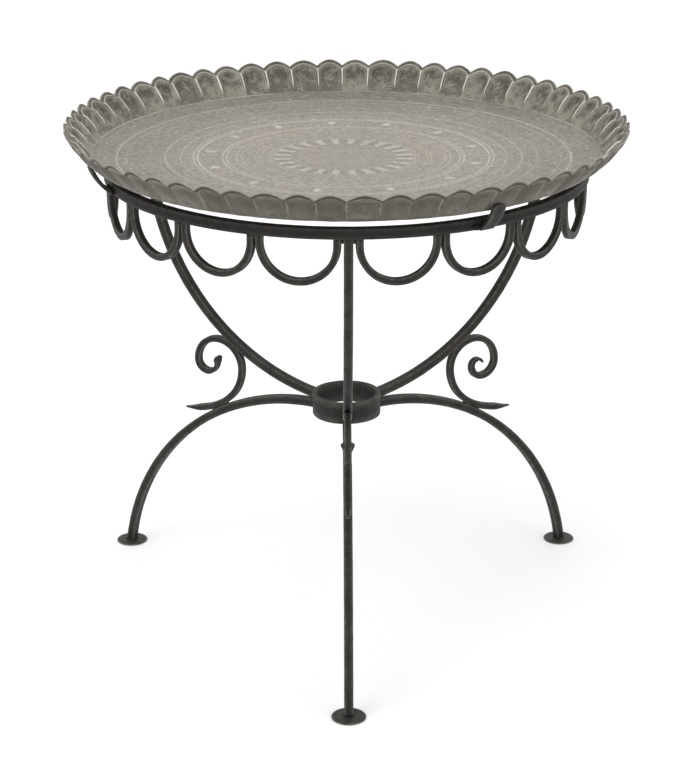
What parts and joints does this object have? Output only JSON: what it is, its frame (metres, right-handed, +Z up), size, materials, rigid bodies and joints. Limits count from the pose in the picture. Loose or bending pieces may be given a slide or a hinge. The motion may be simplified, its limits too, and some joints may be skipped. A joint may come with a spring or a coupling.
{
  "type": "tray table",
  "caption": "Round scalloped and engraved metal serving tray on a wrought-iron tripod stand with a ring of hanging loops, curled scrolls and disc feet.",
  "frame": {"origin": "floor level, at the middle of the table's footprint; the tray's axis is 8 mm behind it", "axes": "+Z up; the front leg points to -Y; +X is to the right seen from the front"},
  "size_m": [0.6592, 0.676, 0.61],
  "materials": {
    "engraved_metal": "grey tinned and aged, satin, chased all over",
    "black_iron": "blackened wrought iron, waxed"
  },
  "bodies": {
    "stand": {"ring_hoop": "black_iron", "collar": "black_iron", "upper_leg_front": "black_iron", "upper_leg_right": "black_iron", "upper_leg_left": "black_iron", "lower_leg_front": "black_iron", "lower_leg_right": "black_iron", "lower_leg_left": "black_iron", "scroll_front": "black_iron", "scroll_right": "black_iron", "scroll_left": "black_iron", "foot_front": "black_iron", "foot_right": "black_iron", "foot_left": "black_iron", "tray_hook_right": "black_iron", "tray_hook_left": "black_iron", "tray_hook_back": "black_iron", "loop_01": "black_iron", "loop_02": "black_iron", "loop_03": "black_iron", "loop_04": "black_iron", "loop_05": "black_iron", "loop_06": "black_iron", "loop_07": "black_iron", "loop_08": "black_iron", "loop_09": "black_iron", "loop_10": "black_iron", "loop_11": "black_iron", "loop_12": "black_iron", "loop_13": "black_iron", "loop_14": "black_iron", "loop_15": "black_iron", "loop_16": "black_iron", "loop_17": "black_iron", "loop_18": "black_iron"},
    "tray": {"tray": "engraved_metal"}
  },
  "joints": [
    {"name": "tray_lift", "type": "slide", "parent": "stand", "child": "tray", "axis": [0, 0, 1], "range_m": [0, 0.12]}
  ]
}
